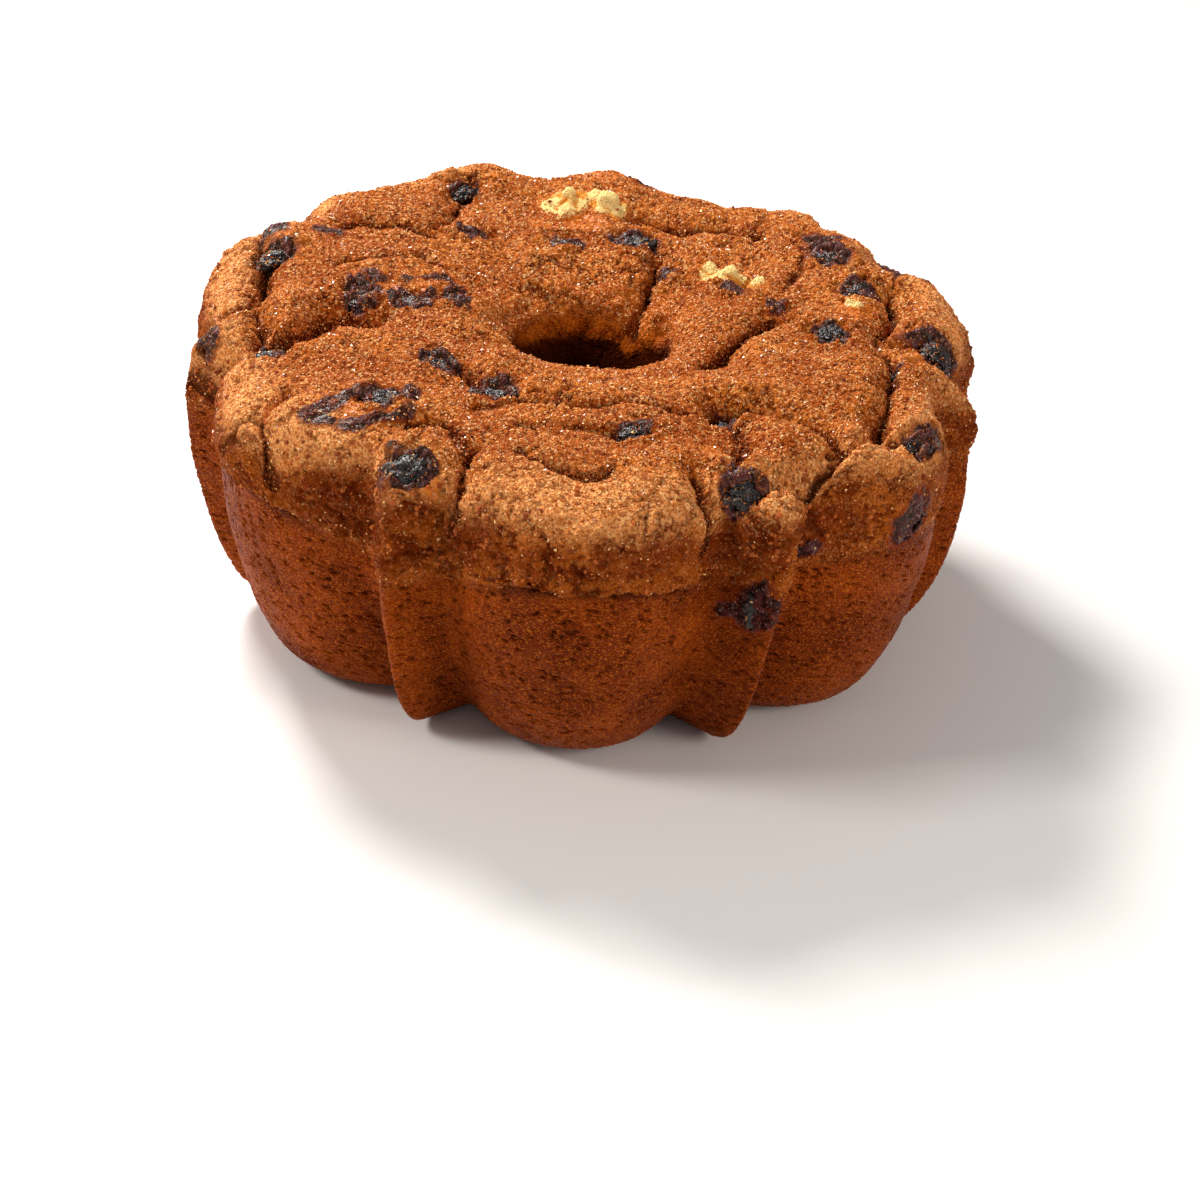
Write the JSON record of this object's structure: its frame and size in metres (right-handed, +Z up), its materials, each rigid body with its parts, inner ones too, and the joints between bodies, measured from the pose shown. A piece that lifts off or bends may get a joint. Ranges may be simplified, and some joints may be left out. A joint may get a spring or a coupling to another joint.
{
  "type": "ring cake",
  "caption": "Fluted ring coffee cake, uncut, with a round hole through its middle, broad lobes with thin ridges between them, and berries sunk in a craggy sugared crust.",
  "frame": {"origin": "middle of the cake's foot, on the surface it stands on", "axes": "+Z up along the hole's axis, -Y towards the lobe at the front, +X to the right"},
  "size_m": [0.2128, 0.2204, 0.0916],
  "materials": {
    "crust": "matte",
    "berry_skin": "satin"
  },
  "bodies": {
    "root": {"cake": "crust", "berry_01": "berry_skin", "berry_02": "berry_skin", "berry_03": "berry_skin", "berry_04": "berry_skin", "berry_05": "berry_skin", "berry_06": "berry_skin", "berry_07": "berry_skin", "berry_08": "berry_skin", "berry_09": "berry_skin", "berry_10": "berry_skin", "berry_11": "berry_skin", "berry_12": "berry_skin", "berry_13": "berry_skin", "berry_14": "berry_skin", "berry_15": "berry_skin", "berry_16": "berry_skin", "berry_17": "berry_skin", "berry_18": "berry_skin", "berry_19": "berry_skin", "berry_20": "berry_skin", "berry_21": "berry_skin", "berry_22": "berry_skin", "berry_23": "berry_skin", "berry_24": "berry_skin", "berry_25": "berry_skin", "berry_26": "berry_skin", "berry_27": "berry_skin", "berry_28": "berry_skin", "berry_29": "berry_skin", "berry_30": "berry_skin"}
  },
  "joints": []
}
